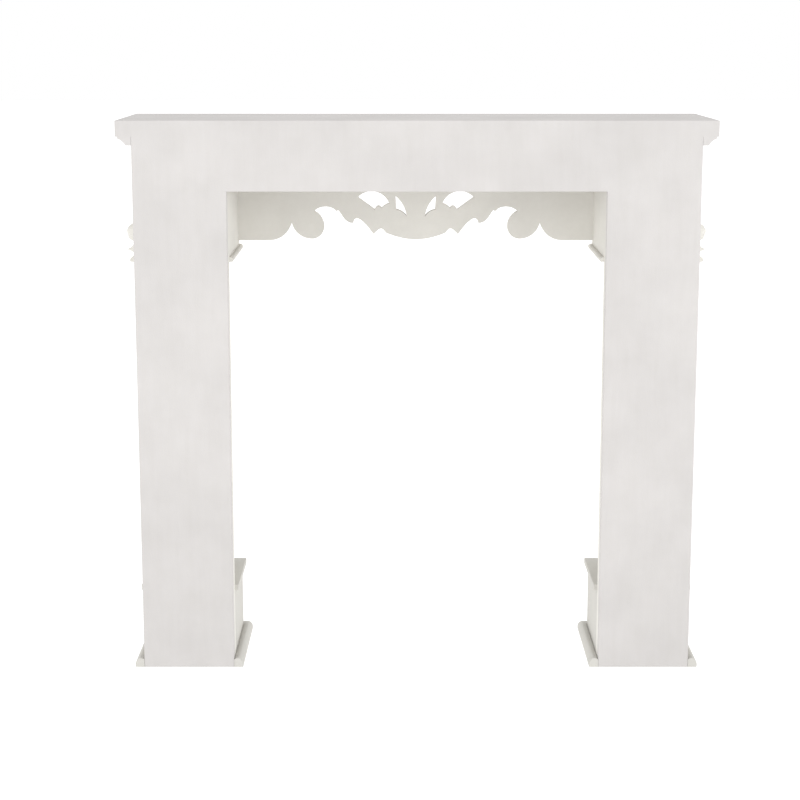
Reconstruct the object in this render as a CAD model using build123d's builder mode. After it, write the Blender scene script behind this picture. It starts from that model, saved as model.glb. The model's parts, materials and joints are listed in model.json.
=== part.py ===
"""Miniature fireplace mantel: a painted wooden surround with a scroll-cut frieze on two console legs.

Millimetres, +Z up. The origin is at the centre of the footprint, on the floor. The flat back faces +Y and
the decorative front -Y. "Depth" is a distance forward from the flat back. Pieces of the right-hand side
(+X) are drawn, and the left-hand ones are their mirror images.
"""

import os

from build123d import *

# Overall size
shelf_width = 110.0
shelf_depth = 29.5
total_height = 103.9
back_y = shelf_depth / 2

# Boards
panel_thickness = 2.0
board_thickness = 2.0
shelf_thickness = 2.95
shelf_bottom = total_height - shelf_thickness
soft_edge = 0.15

# Legs: the opening, the legs, the plinths and the frieze box's ends share these distances from the centre
opening_half = 34.9
leg_outer = 52.1
leg_middle = (opening_half + leg_outer) / 2
opening_top = 91.0
leg_depth = 4.2

# Frieze box
frieze_back = 25.0
frieze_front = frieze_back + board_thickness
box_bottom = 78.5
apron_bottom = 79.4

# Crown moulding under the shelf
crown_bottom = 99.35
crown_reach = 2.5
crown_foot = 1.05

# Plate under each end of the frieze box
plate_bottom = 77.6
plate_reach = 0.75
plate_outer_reach = 1.35

# Plinths
plinth_front_depth = 22.5
plinth_top = 15.2
cap_thickness = 1.9
cap_bottom = plinth_top - cap_thickness
cap_reach = 0.75

# Base moulding
base_height = 1.85
base_reach = 1.75

# Consoles
console_middle = 43.8
console_half = 6.0
console_top = 76.2
foot_radius = 3.7
foot_depth = 17.0
foot_height = plinth_top + foot_radius
head_radius = 5.4
head_depth = 20.8
head_height = console_top - head_radius

os.makedirs("parts", exist_ok=True)


def save(part, name):
    """Labels a finished piece and writes it."""
    part.label = name
    export_step(part, f"parts/{name}.step")


def save_pair(part, name):
    """Writes a right-hand piece and its mirror image."""
    save(part, f"{name}_right")
    with BuildPart() as twin:
        mirror(part, about=Plane.YZ)
    save(twin.part, f"{name}_left")


def facing_front(depth, x=0, z=0):
    """An upright plane parallel to the back, drawn in (x, z), whose normal points to the front."""
    return Plane(origin=(x, back_y - depth, z), x_dir=(1, 0, 0), z_dir=(0, -1, 0))


def facing_right(x, depth=0, z=0):
    """An upright plane seen from the side, drawn in (-depth, z), whose normal points to +X."""
    return Plane(origin=(x, back_y - depth, z), x_dir=(0, 1, 0), z_dir=(1, 0, 0))


def board(inner, outer, rear, front, bottom, top):
    """A flat board between two distances from the centre line, two depths and two heights."""
    with BuildPart() as piece:
        with BuildSketch(Plane.XY.offset(bottom)):
            with Locations(((inner + outer) / 2, back_y - (rear + front) / 2)):
                Rectangle(outer - inner, front - rear)
        extrude(amount=top - bottom)
    return piece.part


def mitred_runs(route, profile, reach):
    """Lengths of moulding along a route of corners, clockwise from above, mitred where they meet."""
    corners = [Vector(x, y) for x, y in route]
    ways = [(end - start).normalized() for start, end in zip(corners, corners[1:])]
    last = len(ways) - 1
    runs = []
    for i, way in enumerate(ways):
        before = reach if i > 0 else 0
        after = reach if i < last else 0
        length = (corners[i + 1] - corners[i]).length
        section = Plane(origin=corners[i] - way * before, x_dir=(-way.Y, way.X, 0), z_dir=way)
        with BuildPart() as run:
            with BuildSketch(section):
                with BuildLine():
                    profile()
                make_face()
            extrude(amount=before + length + after)
            if before:
                split(bisect_by=Plane(corners[i], z_dir=ways[i - 1] + way), keep=Keep.TOP)
            if after:
                split(bisect_by=Plane(corners[i + 1], z_dir=way + ways[i + 1]), keep=Keep.BOTTOM)
        runs.append(run.part)
    return runs


# Back panel and shelf


def make_back_panel():
    with BuildPart() as back_panel:
        with BuildSketch(facing_front(0)):
            with Locations((0, shelf_bottom / 2)):
                Rectangle(2 * leg_outer, shelf_bottom)
            with Locations((0, opening_top / 2)):
                Rectangle(2 * opening_half, opening_top, mode=Mode.SUBTRACT)
        extrude(amount=panel_thickness)
    save(back_panel.part, "back_panel")


def make_shelf_board():
    with BuildPart() as shelf_board:
        with BuildSketch(Plane.XY.offset(shelf_bottom)):
            Rectangle(shelf_width, shelf_depth)
        extrude(amount=shelf_thickness)
        front_corners = shelf_board.edges().filter_by(Axis.Z).group_by(Axis.Y)[0]
        fillet(front_corners, radius=soft_edge)
        fillet(shelf_board.faces().sort_by(Axis.Z)[-1].edges(), radius=soft_edge)
    save(shelf_board.part, "shelf_board")


def crown_profile():
    """A fillet at the top and a cove below it, in (reach, height)."""
    lip = 0.35
    Polyline(
        (crown_reach, shelf_bottom - lip),
        (crown_reach, shelf_bottom),
        (0, shelf_bottom),
        (0, crown_bottom),
        (crown_foot, crown_bottom),
    )
    ThreePointArc((crown_foot, crown_bottom), (1.55, 100.05), (crown_reach, shelf_bottom - lip))


def make_crown():
    front_y = back_y - frieze_front
    route = [(leg_outer, back_y), (leg_outer, front_y), (-leg_outer, front_y), (-leg_outer, back_y)]
    names = ["crown_right", "crown_front", "crown_left"]
    for name, run in zip(names, mitred_runs(route, crown_profile, crown_reach)):
        save(run, name)


# Frieze


def apron_edge():
    """Right half of the scroll-cut edge, from the straight stretch by the leg in to the centre."""
    Line((opening_half, apron_bottom), (28.6, apron_bottom))
    ThreePointArc((28.6, apron_bottom), (25.7, 80.6), (24.4, 83.1))
    ThreePointArc((24.4, 83.1), (23.1, 80.7), (20.6, 79.7))
    ThreePointArc((20.6, 79.7), (18.6, 80.5), (18.0, 82.2))
    ThreePointArc((18.0, 82.2), (18.6, 83.9), (20.0, 85.1))
    ThreePointArc((20.0, 85.1), (18.0, 86.0), (16.1, 85.6))
    Polyline((16.1, 85.6), (15.6, 85.1), (15.2, 85.3))
    Spline((15.2, 85.3), (14.5, 84.3), (13.8, 83.4), (12.3, 82.8))
    Spline((12.3, 82.8), (11.7, 83.7), (10.4, 83.1), (8.3, 80.6))
    Spline((8.3, 80.6), (7.9, 81.0), (7.2, 81.6), (5.9, 80.9))
    ThreePointArc((5.9, 80.9), (3.1, 79.95), (0, 79.55))


def crescent_hole():
    """Opening between the scroll and the leaf below it."""
    ThreePointArc((11.4, 87.8), (8.4, 89.0), (5.2, 86.6))
    Spline((5.2, 86.6), (6.0, 86.3), (6.7, 85.7))
    Spline((6.7, 85.7), (7.2, 86.1), (8.1, 85.4))
    ThreePointArc((8.1, 85.4), (9.7, 86.6), (11.4, 87.8))


def leaf_hole():
    """Opening beside the centre shell."""
    Line((4.0, 88.1), (3.8, 85.4))
    ThreePointArc((3.8, 85.4), (2.9, 85.1), (1.8, 84.1))
    ThreePointArc((1.8, 84.1), (2.6, 86.5), (4.0, 88.1))


def make_frieze_board():
    with BuildPart() as frieze_board:
        with BuildSketch(facing_front(frieze_back)):
            with BuildLine():
                apron_edge()
                Polyline(
                    (0, 79.55),
                    (0, shelf_bottom),
                    (leg_outer, shelf_bottom),
                    (leg_outer, box_bottom),
                    (opening_half, box_bottom),
                    (opening_half, apron_bottom),
                )
            make_face()
            with BuildLine():
                crescent_hole()
            make_face(mode=Mode.SUBTRACT)
            with BuildLine():
                leaf_hole()
            make_face(mode=Mode.SUBTRACT)
            mirror(about=Plane.YZ)
        extrude(amount=board_thickness)
    save(frieze_board.part, "frieze_board")


def leaf(root_x, root_z, tip_x, tip_z, width, bow):
    """Outline of a leaf from a root of the given width to a pointed tip, bowed out on both sides."""
    along = Vector(tip_x - root_x, tip_z - root_z).normalized()
    across = Vector(-along.Y, along.X) * (width / 2)
    root = Vector(root_x, root_z)
    tip = Vector(tip_x, tip_z)
    SagittaArc(root + across, tip, bow)
    SagittaArc(tip, root - across, bow)
    Line(root - across, root + across)


def make_frieze_scroll():
    """A carved scroll that follows the apron and ends in a volute, with leaves on both its sides."""
    band_width = 1.5
    scroll_relief = 1.3
    leaf_relief = 0.8
    leaves = [
        (8.9, 83.8, 8.3, 81.0, 1.5, 0.15),
        (13.2, 86.4, 12.4, 83.3, 1.8, 0.2),
        (13.2, 88.0, 7.4, 94.4, 2.6, 0.8),
        (15.6, 88.2, 15.4, 96.4, 3.0, 0.9),
        (18.8, 88.0, 24.4, 94.6, 3.0, 0.9),
        (22.4, 86.4, 31.4, 89.2, 2.8, 0.9),
    ]
    with BuildPart() as frieze_scroll:
        for outline in leaves:
            with BuildSketch(facing_front(frieze_front)):
                with BuildLine():
                    leaf(*outline)
                make_face()
            extrude(amount=leaf_relief)
        with BuildSketch(facing_front(frieze_front)):
            with BuildLine() as spine:
                Spline(
                    (2.9, 81.9),
                    (6.4, 83.2),
                    (9.6, 85.0),
                    (12.9, 87.0),
                    (17.4, 88.1),
                    (21.6, 87.1),
                    (23.4, 83.6),
                    (21.3, 81.1),
                    (19.3, 82.6),
                    (20.7, 84.2),
                )
            trace(spine.line, line_width=band_width)
        extrude(amount=scroll_relief)
    save_pair(frieze_scroll.part, "frieze_scroll")


def make_frieze_shell():
    """A palmette: a narrow fan of ribs that spread upwards between the leaf holes, from a round boss."""
    rib_lengths = [8.6, 9.9, 10.6, 9.9, 8.6]
    fan_angle = 46
    hub_height = 82.0
    rib_half = 1.05
    rib_relief = 1.2
    boss_radius = 1.7
    boss_relief = 1.9
    step = fan_angle / (len(rib_lengths) - 1)
    with BuildPart() as frieze_shell:
        for i, length in enumerate(rib_lengths):
            with BuildSketch(facing_front(frieze_front, z=hub_height)):
                with Locations(Rotation(0, 0, 90 - fan_angle / 2 + i * step)):
                    Polygon((0, 0), (length, -rib_half), (length, rib_half), align=None)
                    with Locations((length, 0)):
                        Circle(rib_half)
            extrude(amount=rib_relief)
        with BuildSketch(facing_front(frieze_front, z=hub_height)):
            Circle(boss_radius)
        extrude(amount=boss_relief)
        chamfer(frieze_shell.faces().sort_by(Axis.Y)[0].edges(), length=0.6)
    save(frieze_shell.part, "frieze_shell")


# Ends of the frieze box


def make_box_boards():
    save_pair(board(opening_half, opening_half + board_thickness, leg_depth, frieze_back,
                    box_bottom, shelf_bottom), "block_return")
    save_pair(board(leg_outer - board_thickness, leg_outer, leg_depth, frieze_back,
                    box_bottom, shelf_bottom), "block_side")


def make_capital_plate():
    """A plate with a rounded edge, a little wider than the frieze box."""
    top_rounding = 0.6
    bottom_rounding = 0.25
    front = frieze_front + plate_reach
    with BuildPart() as capital_plate:
        add(board(opening_half - plate_reach, leg_outer + plate_outer_reach, leg_depth, front,
                  plate_bottom, box_bottom))
        fillet(capital_plate.faces().sort_by(Axis.Z)[-1].edges().sort_by(Axis.Y)[:-1], radius=top_rounding)
        fillet(capital_plate.faces().sort_by(Axis.Z)[0].edges().sort_by(Axis.Y)[:-1], radius=bottom_rounding)
    save_pair(capital_plate.part, "capital_plate")


def make_block_rosette():
    """A turned rosette: a disc with a raised ring and a domed boss."""
    rosette_height = 89.4
    turnings = [(5.2, 0, 0.5, 0.2), (4.8, 3.4, 1.2, 0.3), (2.0, 0, 1.8, 0.9)]
    with BuildPart() as block_rosette:
        for outer, inner, relief, rounding in turnings:
            with BuildSketch(facing_front(frieze_front, x=leg_middle, z=rosette_height)):
                Circle(outer)
                if inner:
                    Circle(inner, mode=Mode.SUBTRACT)
            extrude(amount=relief)
            fillet(block_rosette.faces().sort_by(Axis.Y)[0].edges(), radius=rounding)
    save_pair(block_rosette.part, "block_rosette")


def make_side_ornament():
    """A leaf drop on the outer side: thin above, with a full boss and a hooked tip below."""
    middle_depth = 12.0
    half_width = 3.2
    foot = box_bottom
    top = 96.0
    with BuildPart() as side_ornament:
        with BuildSketch(facing_front(middle_depth - half_width, x=leg_outer)):
            with BuildLine():
                Polyline((0, top), (0, foot), (1.6, foot), (2.8, 79.1))
                ThreePointArc((2.8, 79.1), (1.9, 79.7), (1.5, 80.5))
                ThreePointArc((1.5, 80.5), (2.8, 82.5), (1.4, 84.3))
                ThreePointArc((1.4, 84.3), (1.0, 86.4), (1.1, 88.6))
                ThreePointArc((1.1, 88.6), (0.95, 93.0), (0, top))
            make_face()
        extrude(amount=2 * half_width)
        with BuildSketch(facing_right(leg_outer, middle_depth)):
            with BuildLine():
                ThreePointArc((0, top), (2.1, 92.4), (half_width, 89.4))
                ThreePointArc((half_width, 89.4), (2.8, 87.6), (1.8, 86.4))
                ThreePointArc((1.8, 86.4), (2.9, 83.2), (1.8, 80.2))
                ThreePointArc((1.8, 80.2), (1.1, 79.4), (0.9, foot))
                Polyline((0.9, foot), (0, foot), (0, top))
            make_face()
            mirror(about=Plane.YZ)
        extrude(amount=3, mode=Mode.INTERSECT)
    save_pair(side_ornament.part, "side_ornament")


# Legs


def make_leg_board():
    save_pair(board(opening_half, leg_outer, panel_thickness, leg_depth, 0, shelf_bottom), "leg_board")


def console_outline():
    """Side view of the S-scroll in (-depth, height): a foot scroll, a waist and a larger head scroll."""
    foot_top = (-foot_depth - 0.64, foot_height + 3.64)
    head_under = (-head_depth + 3.1, head_height - 4.42)
    Line((-head_depth, console_top), (-leg_depth, console_top))
    Line((-leg_depth, console_top), (-leg_depth, plinth_top))
    Line((-leg_depth, plinth_top), (-foot_depth, plinth_top))
    ThreePointArc((-foot_depth, plinth_top), (-foot_depth - foot_radius, foot_height), foot_top)
    Spline(foot_top, (-11.6, 29.6), (-8.6, 43.0), (-10.8, 56.0), head_under)
    ThreePointArc(head_under, (-head_depth - head_radius, head_height), (-head_depth, console_top))


def make_console():
    with BuildPart() as console:
        with BuildSketch(facing_right(console_middle - console_half)):
            with BuildLine():
                console_outline()
            make_face()
        extrude(amount=2 * console_half)
    save_pair(console.part, "console")


def make_console_cap():
    half = console_half + 0.4
    front = frieze_front - 0.3
    save_pair(board(console_middle - half, console_middle + half, leg_depth, front,
                    console_top, plate_bottom), "console_cap")


def make_console_leaf():
    """A carved leaf wrapped over the front of the head scroll, pointed at its lower end."""
    thickness = 0.9
    root_half = 4.4
    tip_height = head_height - head_radius
    with BuildPart() as console_leaf:
        with BuildSketch(facing_right(console_middle - root_half, head_depth, head_height)):
            Circle(head_radius + thickness)
            Circle(head_radius, mode=Mode.SUBTRACT)
            with Locations((-head_radius - thickness, 0)):
                Rectangle(2 * (head_radius + thickness), 2 * head_radius - 1.0, mode=Mode.INTERSECT)
        extrude(amount=2 * root_half)
        with BuildSketch(facing_front(head_depth, x=console_middle)):
            with BuildLine():
                SagittaArc((0, tip_height), (root_half, console_top), -1.6)
                Line((root_half, console_top), (0, console_top))
                Line((0, console_top), (0, tip_height))
            make_face()
            mirror(about=Plane.YZ)
        extrude(amount=head_radius + 2 * thickness, mode=Mode.INTERSECT)
    save_pair(console_leaf.part, "console_leaf")


def make_volute_eyes():
    """Turned buttons at the centres of both scrolls, on both sides of the console."""
    radius = 1.5
    thickness = 0.4
    centres = [(foot_depth, foot_height), (head_depth, head_height)]
    with BuildPart() as volute_eyes:
        for depth, height in centres:
            for x in (console_middle - console_half - thickness, console_middle + console_half):
                with BuildSketch(facing_right(x, depth, height)):
                    Circle(radius)
                extrude(amount=thickness)
    save_pair(volute_eyes.part, "volute_eyes")


# Plinths


def make_plinth():
    inside = plinth_front_depth - board_thickness
    save_pair(board(opening_half, opening_half + board_thickness, leg_depth, inside,
                    0, cap_bottom), "plinth_inner")
    save_pair(board(leg_outer - board_thickness, leg_outer, leg_depth, inside,
                    0, cap_bottom), "plinth_outer")
    save_pair(board(opening_half, leg_outer, inside, plinth_front_depth,
                    0, cap_bottom), "plinth_front")


def make_plinth_cap():
    """A slab with a nosing above a smaller step."""
    step_reach = 0.1
    slab_bottom = plinth_top - 1.1
    with BuildPart() as plinth_cap:
        add(board(opening_half - step_reach, leg_outer + step_reach, leg_depth,
                  plinth_front_depth + step_reach, cap_bottom, slab_bottom))
        add(board(opening_half - cap_reach, leg_outer + cap_reach, leg_depth,
                  plinth_front_depth + cap_reach, slab_bottom, plinth_top))
        rims = plinth_cap.faces().sort_by(Axis.Z)[-1].edges().sort_by(Axis.Y)[:-1]
        fillet(rims, radius=soft_edge)
    save_pair(plinth_cap.part, "plinth_cap")


def make_plinth_panel():
    """A raised field on the plinth's front with bevelled edges."""
    panel_width = 11.6
    panel_height = 7.2
    panel_relief = 0.7
    panel_bevel = 0.5
    middle_height = (base_height + cap_bottom) / 2
    with BuildPart() as plinth_panel:
        with BuildSketch(facing_front(plinth_front_depth, x=leg_middle, z=middle_height)):
            Rectangle(panel_width, panel_height)
        extrude(amount=panel_relief)
        chamfer(plinth_panel.faces().sort_by(Axis.Y)[0].edges(), length=panel_bevel)
    save_pair(plinth_panel.part, "plinth_panel")


def base_profile():
    """A rounded bead with a groove between it and the plinth, in (reach, height)."""
    groove = (0, 1.5)
    crest = (0.95, base_height)
    bead_side = (base_reach, 0.3)
    Polyline(groove, (0, 0), (base_reach, 0), bead_side)
    ThreePointArc(bead_side, (1.48, 1.35), crest)
    ThreePointArc(crest, (0.45, 1.77), groove)


def make_base():
    front_y = back_y - plinth_front_depth
    route = [(leg_outer, back_y), (leg_outer, front_y), (opening_half, front_y), (opening_half, back_y)]
    names = ["base_outer", "base_front", "base_inner"]
    for name, run in zip(names, mitred_runs(route, base_profile, base_reach)):
        save_pair(run, name)


make_back_panel()
make_shelf_board()
make_crown()
make_frieze_board()
make_frieze_scroll()
make_frieze_shell()
make_box_boards()
make_capital_plate()
make_block_rosette()
make_side_ornament()
make_leg_board()
make_console()
make_console_cap()
make_console_leaf()
make_volute_eyes()
make_plinth()
make_plinth_cap()
make_plinth_panel()
make_base()
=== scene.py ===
"""Miniature fireplace mantel: looks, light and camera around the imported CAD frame.

The sections on shapes give lengths in millimetres in the frame's own axes, and MM turns them into
metres. The sections on materials and on the stage give lengths in metres.
"""

import json
import math

import bmesh
import bpy
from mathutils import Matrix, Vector
from mathutils.bvhtree import BVHTree


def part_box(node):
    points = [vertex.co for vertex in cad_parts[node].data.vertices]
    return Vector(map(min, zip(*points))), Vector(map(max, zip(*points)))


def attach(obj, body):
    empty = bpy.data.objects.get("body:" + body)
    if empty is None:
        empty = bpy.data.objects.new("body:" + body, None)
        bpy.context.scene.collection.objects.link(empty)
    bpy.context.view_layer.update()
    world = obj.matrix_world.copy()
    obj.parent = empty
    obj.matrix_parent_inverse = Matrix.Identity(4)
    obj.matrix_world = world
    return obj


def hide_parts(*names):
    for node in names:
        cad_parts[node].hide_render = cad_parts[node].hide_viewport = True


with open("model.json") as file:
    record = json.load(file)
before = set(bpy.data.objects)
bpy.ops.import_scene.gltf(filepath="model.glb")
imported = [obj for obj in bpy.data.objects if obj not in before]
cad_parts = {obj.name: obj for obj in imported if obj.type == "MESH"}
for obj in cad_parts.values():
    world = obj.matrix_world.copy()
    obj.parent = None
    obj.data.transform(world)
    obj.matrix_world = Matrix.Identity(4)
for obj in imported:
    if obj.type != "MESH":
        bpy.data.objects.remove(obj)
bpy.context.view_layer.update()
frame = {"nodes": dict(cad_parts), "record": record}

MM = 0.001
NODES = frame["nodes"]
SLOTS = {part["node"]: part["material_slot"] for part in frame["record"]["subparts"]}


def box_mm(node):
    """The corners of a CAD node's box in millimetres."""
    low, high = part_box(node)
    return low / MM, high / MM


def middle_mm(node):
    """The centre of a CAD node's box in millimetres."""
    low, high = box_mm(node)
    return (low + high) / 2


BACK = box_mm("back_panel")[1].y
LEG_OUTER = box_mm("back_panel")[1].x
FRIEZE_FRONT = box_mm("frieze_board")[0].y


# Materials

CLOUD_SCALE = 55
PATCH_SCALE = 190
STROKE_SCALE = 900
GRAIN_SCALE = 4200
WORN_PATCH = (0.955, 0.953, 0.948)
BRUSH_SHADE = (0.965, 0.963, 0.958)
WHITE = (1, 1, 1)
# Heights in metres of the painted shade near the floor: darkest at the first, none above the second.
DARKEST_SHADE_HEIGHT = 0.008
FULL_TONE_HEIGHT = 0.05
BRUSH_DEPTH = 0.00003
GRAIN_DEPTH = 0.00004


def new_node(tree, kind, x, y, **values):
    """Adds a shader node and sets its plain attributes and its inputs by name."""
    node = tree.nodes.new(kind)
    node.location = (x, y)
    for key, value in values.items():
        if hasattr(node, key):
            setattr(node, key, value)
        else:
            node.inputs[key.replace("_", " ")].default_value = value
    return node


def noise(tree, coords, scale, detail, roughness, stretch=(1, 1, 1), y=0):
    """A noise texture in metres, stretched along an axis."""
    mapping = new_node(tree, "ShaderNodeMapping", -1100, y)
    mapping.inputs["Scale"].default_value = stretch
    tree.links.new(coords, mapping.inputs["Vector"])
    texture = new_node(tree, "ShaderNodeTexNoise", -900, y)
    texture.inputs["Scale"].default_value = scale
    texture.inputs["Detail"].default_value = detail
    texture.inputs["Roughness"].default_value = roughness
    tree.links.new(mapping.outputs["Vector"], texture.inputs["Vector"])
    return texture.outputs["Fac"]


def ramp(tree, source, low, high, colour_low, colour_high, y=0):
    """A two-stop colour ramp."""
    node = new_node(tree, "ShaderNodeValToRGB", -650, y)
    node.color_ramp.elements[0].position = low
    node.color_ramp.elements[1].position = high
    node.color_ramp.elements[0].color = (*colour_low, 1)
    node.color_ramp.elements[1].color = (*colour_high, 1)
    tree.links.new(source, node.inputs["Fac"])
    return node.outputs["Color"]


def multiply(tree, first, second, factor, y=0):
    """Darkens the first colour by the second."""
    node = new_node(tree, "ShaderNodeMix", -350, y, data_type="RGBA", blend_type="MULTIPLY")
    node.inputs["Factor"].default_value = factor
    tree.links.new(first, node.inputs["A"])
    tree.links.new(second, node.inputs["B"])
    return node.outputs["Result"]


def bump(tree, source, depth, x, y):
    """A bump of the given depth in metres."""
    node = new_node(tree, "ShaderNodeBump", x, y, Strength=0.5)
    node.inputs["Distance"].default_value = depth
    tree.links.new(source, node.inputs["Height"])
    return node


def chalk_paint(name, colour, brush=(1, 1, 0.12), mottle=0.06, floor_shade_tone=1.0):
    """Matt off-white paint on wood: cloudy mottling, faint brush marks and a sandy grain. The paint is
    also darkened towards the floor, down to the given tone there, as painted shade."""
    material = bpy.data.materials.new(name)
    material.use_nodes = True
    tree = material.node_tree
    shader = tree.nodes["Principled BSDF"]
    shader.inputs["Specular IOR Level"].default_value = 0.25
    coords = new_node(tree, "ShaderNodeTexCoord", -1350, 0).outputs["Object"]
    clouds = noise(tree, coords, CLOUD_SCALE, 3, 0.55, y=300)
    patches = noise(tree, coords, PATCH_SCALE, 4, 0.6, y=0)
    strokes = noise(tree, coords, STROKE_SCALE, 3, 0.6, stretch=brush, y=-300)
    grain = noise(tree, coords, GRAIN_SCALE, 2, 0.7, y=-600)
    darker = tuple(c * (1 - mottle) for c in colour)
    base = ramp(tree, clouds, 0.35, 0.65, darker, colour, y=300)
    soft = ramp(tree, patches, 0.3, 0.7, WORN_PATCH, WHITE, y=0)
    lines = ramp(tree, strokes, 0.25, 0.6, BRUSH_SHADE, WHITE, y=-300)
    tinted = multiply(tree, base, soft, 0.9, y=200)
    tinted = multiply(tree, tinted, lines, 0.6, y=0)
    # Painted shade: the colour darkens from the full tone height down to the floor.
    parts = new_node(tree, "ShaderNodeSeparateXYZ", -900, 600)
    tree.links.new(coords, parts.inputs["Vector"])
    darkest_shade = (floor_shade_tone, floor_shade_tone, floor_shade_tone)
    painted_floor_shade = ramp(tree, parts.outputs["Z"], DARKEST_SHADE_HEIGHT, FULL_TONE_HEIGHT, darkest_shade, WHITE, y=600)
    tinted = multiply(tree, tinted, painted_floor_shade, 1.0, y=400)
    tree.links.new(tinted, shader.inputs["Base Color"])
    rough = ramp(tree, patches, 0.3, 0.7, (0.72, 0.72, 0.72), (0.9, 0.9, 0.9), y=-900)
    tree.links.new(rough, shader.inputs["Roughness"])
    brush_bump = bump(tree, strokes, BRUSH_DEPTH, -350, -400)
    grain_bump = bump(tree, grain, GRAIN_DEPTH, -150, -500)
    tree.links.new(brush_bump.outputs["Normal"], grain_bump.inputs["Normal"])
    tree.links.new(grain_bump.outputs["Normal"], shader.inputs["Normal"])
    return material


# These colours are lit and shaded copies of one off-white paint. The board colour is lighter and more
# yellow than the panel's: painted light on the boards inside the frieze box, with the yellow tint of
# their shade, and it is also used on the consoles and carvings. The plinth colour is darker and greyer:
# painted shade on the parts in plinth paint.
PANEL_COLOUR = (0.64, 0.62, 0.608)
BOARD_LIGHTENED_COLOUR = (0.767, 0.751, 0.706)
PLINTH_SHADED_COLOUR = (0.611, 0.599, 0.563)
MATERIALS = {
    "panel_paint": chalk_paint("panel_paint", PANEL_COLOUR, floor_shade_tone=0.94),
    "board_paint": chalk_paint("board_paint", BOARD_LIGHTENED_COLOUR, brush=(1, 0.12, 1)),
    "moulding_paint": chalk_paint("moulding_paint", PANEL_COLOUR, brush=(1, 0.12, 1), mottle=0.05),
    "plinth_paint": chalk_paint("plinth_paint", PLINTH_SHADED_COLOUR),
    "console_paint": chalk_paint("console_paint", BOARD_LIGHTENED_COLOUR),
    "carving_paint": chalk_paint("carving_paint", BOARD_LIGHTENED_COLOUR, brush=(1, 1, 1), mottle=0.08),
}


def paint_nodes():
    """Gives every CAD node its slot's material."""
    for node, slot in SLOTS.items():
        mesh = NODES[node].data
        mesh.materials.clear()
        mesh.materials.append(MATERIALS[slot])


# Shapes

SMOOTH_LIMIT = math.radians(40)


def skin(rings, bm):
    """Joins successive closed rings of points, which have equal counts, and caps both ends."""
    rows = [[bm.verts.new(point) for point in ring] for ring in rings]
    count = len(rows[0])
    for first, second in zip(rows, rows[1:]):
        for i in range(count):
            j = (i + 1) % count
            bm.faces.new((first[i], first[j], second[j], second[i]))
    bm.faces.new(rows[0][::-1])
    bm.faces.new(rows[-1])


def shade(bm, crisp=()):
    """Smooth shading, but not across sharp edges or the given ones."""
    for face in bm.faces:
        face.smooth = True
    for edge in bm.edges:
        edge.smooth = edge.calc_face_angle(math.pi) < SMOOTH_LIMIT
    for edge in crisp:
        edge.smooth = False


def finish_mesh(bm, name, node, mirrored=False):
    """Turns a bmesh in millimetres into a painted piece that stands for a CAD node."""
    if mirrored:
        bmesh.ops.scale(bm, vec=(-1, 1, 1), verts=bm.verts)
        bmesh.ops.reverse_faces(bm, faces=bm.faces)
    bmesh.ops.scale(bm, vec=(MM, MM, MM), verts=bm.verts)
    bmesh.ops.triangulate(bm, faces=[face for face in bm.faces if len(face.verts) > 4])
    mesh = bpy.data.meshes.new(name)
    bm.to_mesh(mesh)
    bm.free()
    piece = bpy.data.objects.new(name, mesh)
    bpy.context.scene.collection.objects.link(piece)
    mesh.materials.append(MATERIALS[SLOTS[node]])
    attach(piece, "root")
    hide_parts(node)


def pair(build, stem):
    """Makes a right-hand piece and its mirror image."""
    for side, mirrored in (("right", False), ("left", True)):
        bm = bmesh.new()
        build(bm)
        bmesh.ops.recalc_face_normals(bm, faces=bm.faces)
        shade(bm)
        finish_mesh(bm, f"{stem}_{side}_carved", f"{stem}_{side}", mirrored)


def on_front(a, b, relief):
    """Carving on the front of the frieze: a is x and b is height."""
    return Vector((a, FRIEZE_FRONT - relief, b))


def smooth_path(points, steps):
    """A curve through the points, with the given number of steps between each two."""
    points = [Vector(p) for p in points]
    ends = [2 * points[0] - points[1], *points, 2 * points[-1] - points[-2]]
    path = []
    for a, b, c, d in zip(ends, ends[1:], ends[2:], ends[3:]):
        for i in range(steps):
            t = i / steps
            path.append(0.5 * (2 * b + (c - a) * t + (2 * a - 5 * b + 4 * c - d) * t * t
                               + (3 * b - a - 3 * c + d) * t ** 3))
    return [*path, points[-1]]


def ways_across(path):
    """The unit direction to the left of a flat path at each of its points."""
    across = []
    for i in range(len(path)):
        along = (path[min(i + 1, len(path) - 1)] - path[max(i - 1, 0)]).normalized()
        across.append(Vector((-along.y, along.x)))
    return across


ACROSS_STEPS = 12


def ribbon(bm, path, half_width, height, place):
    """A relief along a flat path. half_width(u) and height(u, s) shape it, with u from 0 to 1 along
    the path and s from -1 to 1 across it, and place() puts each point on the object."""
    rings = []
    for i, (point, side) in enumerate(zip(path, ways_across(path))):
        u = i / (len(path) - 1)
        ring = []
        for j in range(ACROSS_STEPS + 1):
            s = 2 * j / ACROSS_STEPS - 1
            spot = point + side * (half_width(u) * s)
            ring.append(place(spot.x, spot.y, height(u, s)))
        for s in (1, -1):
            spot = point + side * (half_width(u) * s)
            ring.append(place(spot.x, spot.y, 0))
        rings.append(ring)
    skin(rings, bm)


def crown(s):
    """Cross-section of a rounded relief that keeps a low edge."""
    return 0.25 + 0.75 * math.sqrt(max(0, 1 - s * s))


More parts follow.
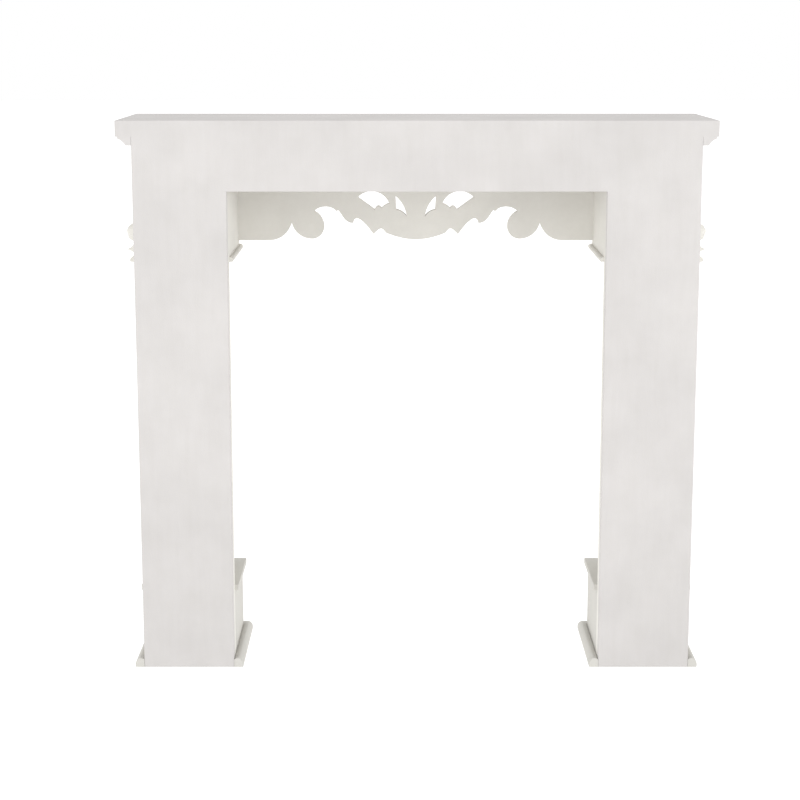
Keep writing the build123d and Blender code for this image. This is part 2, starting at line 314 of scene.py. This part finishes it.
def leaf_form(bm, path, width, relief, place, lobes=4):
    """A carved leaf: lobed edges, a sunk midrib and side veins, pointed at the end of its path."""
    def half_width(u):
        body = (0.35 + 0.65 * math.sin(math.pi * min(1, u + 0.28))) * (1 - u ** 3) + 0.03
        notch = 1 - 0.24 * ((u * lobes) % 1) ** 2
        return width / 2 * body * notch

    def height(u, s):
        rise = relief * (0.45 + 0.55 * math.sin(math.pi * (0.2 + 0.65 * u)))
        midrib = 0.3 * math.exp(-(s / 0.14) ** 2)
        vein = 0.16 * abs(s) * (0.5 + 0.5 * math.cos(2 * math.pi * lobes * (u - 0.25 * abs(s))))
        return rise * max(0.12, crown(s) - midrib - vein)

    ribbon(bm, path, half_width, height, place)


def bead_form(bm, path, start_width, end_width, relief, place):
    """A scroll's stem: two rounded beads with a groove between them, narrowing along the path."""
    def half_width(u):
        return (start_width + (end_width - start_width) * u) / 2

    def height(u, s):
        end_fade = min(1, 8 * u + 0.3, 8 * (1 - u) + 0.3)
        return relief * end_fade * (0.35 + 0.65 * abs(math.sin(math.pi * (s + 0.0001))) ** 0.6)

    ribbon(bm, path, half_width, height, place)


ROUND_STEPS = 40


def turned(bm, centre, profile, place, petals=0, petal_depth=0):
    """A turned relief from (radius, relief) steps, outside first, with optional petals cut in it."""
    rings = []
    for radius, relief, cut in profile:
        ring = []
        for i in range(ROUND_STEPS):
            angle = 2 * math.pi * i / ROUND_STEPS
            depth = relief - cut * petal_depth * (0.5 - 0.5 * math.cos(petals * angle))
            ring.append(place(centre[0] + radius * math.cos(angle),
                              centre[1] + radius * math.sin(angle), depth))
        rings.append(ring)
    skin(rings, bm)


def dome(radius, relief, base=0.0, steps=6):
    """Profile of a dome that stands on a base of the given relief."""
    angles = [math.pi / 2 * i / steps for i in range(steps)]
    arc = [(radius * math.cos(a), base + (relief - base) * math.sin(a), 0) for a in angles]
    return [(radius, 0, 0), *arc, (radius * 0.06, relief, 0)]


# Frieze carvings

SCROLL_RELIEF = 1.3
SCROLL_SPINE = [(2.9, 81.9), (6.4, 83.2), (9.6, 85.0), (12.9, 87.0), (17.4, 88.1), (21.6, 87.1),
                (23.4, 83.9), (21.9, 81.4), (19.6, 82.0), (19.8, 83.9), (21.2, 84.0)]
SCROLL_LEAVES = [
    ((8.9, 83.8), (8.7, 82.4), (8.3, 81.0), 1.5),
    ((13.4, 86.6), (13.1, 85.0), (12.4, 83.3), 1.9),
    ((14.2, 88.4), (12.4, 90.6), (9.9, 92.6), (6.6, 93.6), 3.4),
    ((15.6, 87.9), (16.3, 91.0), (15.4, 94.2), (13.2, 96.4), 4.2),
    ((18.4, 87.8), (21.4, 89.5), (23.0, 92.4), (25.8, 94.4), 4.2),
    ((22.0, 86.2), (25.6, 85.8), (28.6, 87.8), (31.4, 88.0), 3.6),
]
LEAF_RELIEF = 1.0
SCROLL_EYE = (20.7, 83.5)
SHELL_HUB = (0, 82.0)


def frieze_scroll(bm):
    """A double-beaded stem that ends in a volute, with acanthus leaves on both its sides."""
    bead_form(bm, smooth_path(SCROLL_SPINE, 8), 1.7, 1.0, SCROLL_RELIEF, on_front)
    turned(bm, SCROLL_EYE, dome(0.9, SCROLL_RELIEF), on_front)
    for *stations, width in SCROLL_LEAVES:
        leaf_form(bm, smooth_path(stations, 12), width, LEAF_RELIEF, on_front)


def frieze_shell():
    """A palmette of petal-shaped ribs that fan out from a boss."""
    hub = Vector(SHELL_HUB)
    fan_angle = math.radians(46)
    lengths = [8.7, 10.2, 11.1, 10.2, 8.7]
    bm = bmesh.new()
    for i, length in enumerate(lengths):
        angle = math.pi / 2 + fan_angle * (i / (len(lengths) - 1) - 0.5)
        way = Vector((math.cos(angle), math.sin(angle)))
        path = [hub + way * (length * k / 16) for k in range(17)]
        ribbon(bm, path, rib_half_width, rib_height, on_front)
    turned(bm, hub, dome(1.7, 1.9, base=0.7), on_front)
    bmesh.ops.recalc_face_normals(bm, faces=bm.faces)
    shade(bm)
    finish_mesh(bm, "frieze_shell_carved", "frieze_shell")


def rib_half_width(u):
    """Half-width of a palmette rib: it widens to a round end."""
    return 1.12 * (0.15 + 0.85 * u) * math.sqrt(max(0.004, 1 - max(0, (u - 0.86) / 0.14) ** 2))


def rib_height(u, s):
    """Relief of a palmette rib: crowned, with a groove down its middle."""
    groove = 0.28 * math.exp(-(s / 0.18) ** 2) * min(1, 6 * (1 - u))
    return (0.8 + 0.4 * u) * max(0.1, crown(s) - groove)


def block_rosette(bm):
    """A turned disc with eight petals inside a raised rim, and a domed boss."""
    rim = [(5.2, 0, 0), (5.2, 0.4, 0), (5.05, 0.55, 0), (4.8, 0.6, 0), (4.75, 1.0, 0), (4.55, 1.2, 0),
           (4.3, 1.2, 0), (4.1, 1.0, 0), (4.0, 0.5, 0)]
    petals = [(3.9, 0.45, 0.2), (3.5, 0.95, 0.8), (3.0, 1.15, 1), (2.5, 1.05, 1), (2.1, 0.75, 0.6),
              (1.9, 0.6, 0)]
    boss = [(1.7, 0.9, 0), (1.4, 1.4, 0), (1.0, 1.68, 0), (0.5, 1.8, 0), (0.1, 1.8, 0)]
    middle = middle_mm("block_rosette_right")
    turned(bm, (middle.x, middle.z), [*rim, *petals, *boss], on_front, petals=8, petal_depth=0.65)


# Side ornament, from (height, protrusion, half-width) stations from its foot up

ORNAMENT_STATIONS = [
    (78.5, 1.6, 0.9), (78.8, 2.2, 0.95), (79.1, 2.8, 1.1), (79.4, 2.25, 1.25), (79.8, 1.85, 1.5),
    (80.5, 1.5, 1.9), (81.4, 2.45, 2.5), (82.5, 2.78, 2.8), (83.5, 2.45, 2.7), (84.3, 1.4, 2.5),
    (85.2, 1.08, 2.1), (86.4, 1.0, 1.9), (87.6, 1.06, 2.5), (88.6, 1.1, 3.1), (90.0, 1.08, 3.1),
    (91.6, 0.98, 2.6), (93.2, 0.8, 1.8), (94.7, 0.5, 0.9), (96.0, 0.08, 0.06),
]
BOSS_HEIGHT = 82.5
BOSS_SPREAD = 1.6
LOBE_PITCH = 1.5


def side_ornament(bm):
    """A leaf drop: thin leaf above, a full boss with hollows beside it, and a hooked tip below."""
    middle_y = middle_mm("side_ornament_right").y
    rings = []
    for height, protrusion, half_width in smooth_path(ORNAMENT_STATIONS, 4):
        midrib = 0.14 * math.exp(-((height - BOSS_HEIGHT) / BOSS_SPREAD) ** 2) - 0.16
        ring = []
        for j in range(ACROSS_STEPS + 1):
            s = 2 * j / ACROSS_STEPS - 1
            groove = midrib * math.exp(-(s / 0.16) ** 2)
            lobe = 0.12 * abs(s) * math.cos(2 * math.pi * (height / LOBE_PITCH - 0.6 * abs(s)))
            out = protrusion * max(0.06, crown(s) + groove * min(1, abs(s) * 6) + lobe)
            out = min(out, protrusion)
            ring.append(Vector((LEG_OUTER + out, middle_y + half_width * s, height)))
        for s in (1, -1):
            ring.append(Vector((LEG_OUTER, middle_y + half_width * s, height)))
        rings.append(ring)
    skin(rings, bm)


# Consoles

CONSOLE_LOW, CONSOLE_HIGH = box_mm("console_right")
CONSOLE_MIDDLE = (CONSOLE_LOW.x + CONSOLE_HIGH.x) / 2
CONSOLE_HALF = (CONSOLE_HIGH.x - CONSOLE_LOW.x) / 2
CONSOLE_BACK = BACK - CONSOLE_HIGH.y
CONSOLE_BOTTOM = CONSOLE_LOW.z
CONSOLE_TOP = CONSOLE_HIGH.z
FOOT_RADIUS = 3.7
FOOT_CENTRE = Vector((17.0, CONSOLE_BOTTOM + FOOT_RADIUS))
HEAD_RADIUS = 5.4
HEAD_CENTRE = Vector((20.8, CONSOLE_TOP - HEAD_RADIUS))
WAIST = [(11.6, 29.6), (8.6, 43.0), (10.8, 56.0)]
SIDE_LEAF = [(7.0, 51.0), (8.2, 59.5), (10.2, 67.0), (12.8, 74.5)]
SIDE_LEAF_WIDTH = 4.4
SIDE_LEAF_LOBES = 5
SIDE_RELIEF = 0.4
SIDE_SINK = 0.05
BAND_WIDTH = 0.9
BAND_INSET = 0.8
ARRIS = 0.3
BEAD_EDGE = 1.2
FILLET_EDGE = 1.6
FLUTE_PITCH = 2.2
CONSOLE_SLICES = 72
FOOT_STEPS = 14
HEAD_STEPS = 18


def arc_points(centre, radius, start, end, steps):
    """Points of an arc in (depth, height); the angles are in degrees from straight forward, up."""
    angles = [math.radians(start + (end - start) * i / steps) for i in range(steps + 1)]
    return [centre + radius * Vector((math.cos(a), math.sin(a))) for a in angles]


def console_front():
    """The console's free edge in (depth, height), from under its foot scroll up to its top."""
    foot = arc_points(FOOT_CENTRE, FOOT_RADIUS, -90, 80, FOOT_STEPS)
    head = arc_points(HEAD_CENTRE, HEAD_RADIUS, -125, 90, HEAD_STEPS)
    waist = smooth_path([foot[-1], *WAIST, head[0]], 8)
    return [*foot, *waist[1:-1], *head]


def console_inset(x):
    """How far the front is cut back at a distance from the console's middle line: beads and flutes."""
    edge = CONSOLE_HALF - abs(x)
    if edge < ARRIS:
        return ARRIS - edge
    if edge < BEAD_EDGE:
        return 0.18 * (1 - math.sin(math.pi * (edge - ARRIS) / (BEAD_EDGE - ARRIS)))
    if edge < FILLET_EDGE:
        return 0.6
    return 0.15 + 0.55 * abs(math.sin(math.pi * x / FLUTE_PITCH)) ** 0.7


def console(bm):
    """The S-scroll with fluted front, and a beaded band that runs into both volutes on each side."""
    front = console_front()
    outward = [-side for side in ways_across(front)]
    rings = []
    for i in range(CONSOLE_SLICES + 1):
        x = CONSOLE_HALF * (2 * i / CONSOLE_SLICES - 1)
        inset = console_inset(x)
        ring = []
        for spot, way in zip(front, outward):
            moved = spot - way * inset
            ring.append(Vector((CONSOLE_MIDDLE + x, BACK - moved.x,
                                min(max(moved.y, CONSOLE_BOTTOM), CONSOLE_TOP))))
        ring.append(Vector((CONSOLE_MIDDLE + x, BACK - CONSOLE_BACK, CONSOLE_TOP)))
        ring.append(Vector((CONSOLE_MIDDLE + x, BACK - CONSOLE_BACK, CONSOLE_BOTTOM)))
        rings.append(ring)
    skin(rings, bm)
    for sign in (1, -1):
        def on_side(a, b, relief):
            return Vector((CONSOLE_MIDDLE + sign * (CONSOLE_HALF - SIDE_SINK + relief), BACK - a, b))
        bead_form(bm, side_band(), BAND_WIDTH, BAND_WIDTH, SIDE_RELIEF, on_side)
        leaf_form(bm, smooth_path(SIDE_LEAF, 10), SIDE_LEAF_WIDTH, SIDE_RELIEF, on_side,
                  lobes=SIDE_LEAF_LOBES)


def spiral(centre, start_radius, end_radius, start, end, steps):
    """A spiral about a scroll's centre, whose radius shrinks evenly."""
    points = []
    for i in range(steps + 1):
        t = i / steps
        angle = math.radians(start + (end - start) * t)
        radius = start_radius + (end_radius - start_radius) * t
        points.append(centre + radius * Vector((math.cos(angle), math.sin(angle))))
    return points


def side_band():
    """Middle line of the band on the console's side, from the foot's eye to the head's eye."""
    front = console_front()
    outward = [-side for side in ways_across(front)]
    inner = [spot - way * BAND_INSET for spot, way in zip(front, outward)]
    waist = inner[FOOT_STEPS + 1:-(HEAD_STEPS + 1)]
    foot = spiral(FOOT_CENTRE, FOOT_RADIUS - BAND_INSET, 1.7, 80, -400, 40)
    head = spiral(HEAD_CENTRE, HEAD_RADIUS - BAND_INSET, 1.8, -125, 380, 48)
    return [*foot[::-1], *waist, *head]


def volute_eyes(bm):
    """Domed buttons with a raised ring, at the centres of both scrolls on each side."""
    button = [(1.5, 0, 0), (1.5, 0.25, 0), (1.35, 0.36, 0), (1.15, 0.36, 0), (1.0, 0.2, 0),
              (0.85, 0.2, 0), (0.75, 0.38, 0), (0.5, 0.52, 0), (0.2, 0.58, 0), (0.04, 0.58, 0)]
    for sign in (1, -1):
        def on_side(a, b, relief):
            return Vector((CONSOLE_MIDDLE + sign * (CONSOLE_HALF + relief), BACK - a, b))
        for centre in (FOOT_CENTRE, HEAD_CENTRE):
            turned(bm, centre, button, on_side)


HEAD_LEAF_TOP = 78
HEAD_LEAF_TIP = -88
HEAD_LEAF_HALF = 4.4
HEAD_LEAF_LOBES = 5
HEAD_LEAF_RELIEF = 1.2
HEAD_LEAF_SINK = 0.35
TIP_CURL = 0.35


def console_leaf(bm):
    """An acanthus leaf wrapped over the head scroll, between the angles of its top and its tip in
    degrees. Its top is tucked under the cap, and its tip curls off the scroll."""
    def around(a, b, relief):
        angle = math.radians(HEAD_LEAF_TOP + (HEAD_LEAF_TIP - HEAD_LEAF_TOP) * b)
        reach = HEAD_RADIUS - HEAD_LEAF_SINK + relief + TIP_CURL * max(0, b - 0.8) / 0.2
        level = min(HEAD_CENTRE.y + reach * math.sin(angle), CONSOLE_TOP)
        return Vector((CONSOLE_MIDDLE + a, BACK - HEAD_CENTRE.x - reach * math.cos(angle), level))

    def half_width(u):
        notch = 1 - 0.2 * ((u * HEAD_LEAF_LOBES) % 1) ** 2
        return (HEAD_LEAF_HALF * math.cos(math.pi / 2 * u) ** 0.75 + 0.15) * notch

    def height(u, s):
        midrib = 0.22 * math.exp(-(s / 0.1) ** 2)
        vein = 0.2 * abs(s) * (0.5 + 0.5 * math.cos(2 * math.pi * HEAD_LEAF_LOBES * (u - 0.3 * abs(s))))
        body = 0.45 + 0.55 * math.sqrt(max(0, 1 - s * s))
        return HEAD_LEAF_RELIEF * max(0.3, body - midrib - vein)

    path = [Vector((0, k / 40)) for k in range(41)]
    ribbon(bm, path, half_width, height, around)


# Plinth panel

def plinth_panel(bm):
    """A panel with a moulded border round a raised field, from (inset, relief) steps."""
    low, high = box_mm("plinth_panel_right")
    front = high.y
    steps = [(0, 0), (0, 0.4), (0.12, 0.58), (0.35, 0.68), (0.6, 0.68), (0.8, 0.58), (0.9, 0.3),
             (1.5, 0.3), (1.7, 0.36), (2.3, 0.6), (2.45, 0.62)]
    rings = []
    for inset, relief in steps:
        left, right = low.x + inset, high.x - inset
        bottom, top = low.z + inset, high.z - inset
        corners = [(right, top), (left, top), (left, bottom), (right, bottom)]
        rings.append([Vector((x, front - relief, z)) for x, z in corners])
    skin(rings, bm)


# Boards and mouldings

EDGE_ROUNDING = 0.13
EDGE_STEPS = 3
TOUCHING = 0.02
FLAT_LIMIT = math.radians(0.5)
SHARP_LIMIT = math.radians(35)


def cad_tree(node):
    """A search tree of a CAD node's surface."""
    bm = bmesh.new()
    bm.from_mesh(NODES[node].data)
    tree = BVHTree.FromBMesh(bm)
    bm.free()
    return tree


def is_free(edge, others):
    """True if an edge doesn't lie against another board for most of its length."""
    first, second = (vert.co for vert in edge.verts)
    spots = [first.lerp(second, t) for t in (0.1, 0.5, 0.9)]
    near = [any(tree.find_nearest(spot, TOUCHING * MM)[0] for tree in others) for spot in spots]
    return sum(near) < 2


def rounded_board(node, trees):
    """A copy of a CAD board with its free sharp edges slightly rounded, as by sanding and paint."""
    bm = bmesh.new()
    bm.from_mesh(NODES[node].data)
    bmesh.ops.remove_doubles(bm, verts=bm.verts, dist=1e-6)
    bmesh.ops.dissolve_limit(bm, angle_limit=FLAT_LIMIT, verts=bm.verts, edges=bm.edges)
    others = [tree for name, tree in trees.items() if name != node]
    sharp = [e for e in bm.edges if len(e.link_faces) == 2 and e.calc_face_angle() > SHARP_LIMIT]
    free = [e for e in sharp if is_free(e, others)]
    made = bmesh.ops.bevel(bm, geom=free, offset=EDGE_ROUNDING * MM, offset_type="OFFSET",
                           segments=EDGE_STEPS, profile=0.5, affect="EDGES", clamp_overlap=True)
    rounded = set(made["faces"])
    borders = [e for e in bm.edges if len({face in rounded for face in e.link_faces}) == 2]
    bmesh.ops.scale(bm, vec=(1 / MM, 1 / MM, 1 / MM), verts=bm.verts)
    bmesh.ops.recalc_face_normals(bm, faces=bm.faces)
    shade(bm, crisp=borders)
    finish_mesh(bm, f"{node}_sanded", node)


CARVED = {
    "frieze_scroll": frieze_scroll,
    "block_rosette": block_rosette,
    "side_ornament": side_ornament,
    "console": console,
    "console_leaf": console_leaf,
    "volute_eyes": volute_eyes,
    "plinth_panel": plinth_panel,
}


def make_pieces():
    """Replaces every CAD node by its carved or sanded version."""
    for stem, build in CARVED.items():
        pair(build, stem)
    frieze_shell()
    trees = {node: cad_tree(node) for node in NODES}
    for node in NODES:
        stem = node.removesuffix("_right").removesuffix("_left")
        if stem not in CARVED and stem != "frieze_shell":
            rounded_board(node, trees)


# Stage

FLOOR_PAINT = (0.4, 0.4, 0.4, 1)
FLOOR_RADIUS = 3.0
FLOOR_GLOW = 0.84
SKY_LIGHT = 1.0


def make_floor():
    """A plain pale disc, wide enough to fill the view."""
    bpy.ops.mesh.primitive_circle_add(vertices=96, radius=FLOOR_RADIUS, fill_type="NGON",
                                      location=(0, 0, 0))
    floor = bpy.context.object
    floor.name = "floor"
    material = bpy.data.materials.new("pale_floor")
    material.use_nodes = True
    shader = material.node_tree.nodes["Principled BSDF"]
    shader.inputs["Base Color"].default_value = FLOOR_PAINT
    shader.inputs["Roughness"].default_value = 0.9
    shader.inputs["Emission Color"].default_value = (1, 1, 1, 1)
    shader.inputs["Emission Strength"].default_value = FLOOR_GLOW
    floor.data.materials.append(material)


def area_light(name, place, aim, size, power, colour):
    """A round soft light at a place, aimed at a point; the size is its diameter in metres."""
    data = bpy.data.lights.new(name, "AREA")
    data.shape = "DISK"
    data.size = size
    data.energy = power
    data.color = colour
    lamp = bpy.data.objects.new(name, data)
    bpy.context.scene.collection.objects.link(lamp)
    lamp.location = place
    lamp.rotation_mode = "QUATERNION"
    direction = Vector(aim) - Vector(place)
    lamp.rotation_quaternion = direction.to_track_quat("-Z", "Y")


def make_sky():
    """An even white sky."""
    world = bpy.data.worlds.new("studio")
    bpy.context.scene.world = world
    world.use_nodes = True
    background = world.node_tree.nodes["Background"]
    background.inputs["Color"].default_value = (1, 1, 1, 1)
    background.inputs["Strength"].default_value = SKY_LIGHT


KEY_PLACE = (0.7, 0.5, 0.16)
KEY_AIM = (0, 0, 0.07)
KEY_SIZE = 0.25
KEY_POWER = 1.1
FILL_PLACE = (-0.6, -0.9, 0.7)
FILL_AIM = (0, 0, 0.05)
FILL_SIZE = 0.6
FILL_POWER = 0.35
FILL_COLOUR = (1.0, 0.99, 0.97)


def make_lights():
    """Soft lights: one at each side behind the mantel, which reach into the frieze box through the
    opening, and a weaker one in front."""
    aside, behind, up = KEY_PLACE
    area_light("key_right", (aside, behind, up), KEY_AIM, KEY_SIZE, KEY_POWER, WHITE)
    area_light("key_left", (-aside, behind, up), KEY_AIM, KEY_SIZE, KEY_POWER, WHITE)
    area_light("fill", FILL_PLACE, FILL_AIM, FILL_SIZE, FILL_POWER, FILL_COLOUR)


CAMERA_BEHIND = 0.3494
CAMERA_HEIGHT = 0.120
CAMERA_X = 0.0031
CAMERA_TILT_DOWN = math.radians(10.98)
SENSOR_WIDTH_MM = 36
LENS_MM = 85.8


def make_camera():
    """The mantel is seen from behind and a little above, as in the photograph."""
    data = bpy.data.cameras.new("camera")
    data.sensor_width = SENSOR_WIDTH_MM
    data.lens = LENS_MM
    data.clip_start = 0.01
    data.clip_end = 20
    camera = bpy.data.objects.new("camera", data)
    bpy.context.scene.collection.objects.link(camera)
    camera.location = (CAMERA_X, BACK * MM + CAMERA_BEHIND, CAMERA_HEIGHT)
    camera.rotation_euler = (math.pi / 2 - CAMERA_TILT_DOWN, 0, math.pi)
    bpy.context.scene.camera = camera


paint_nodes()
make_pieces()
make_camera()
make_floor()
make_sky()
make_lights()
bpy.context.scene.view_settings.view_transform = "Standard"
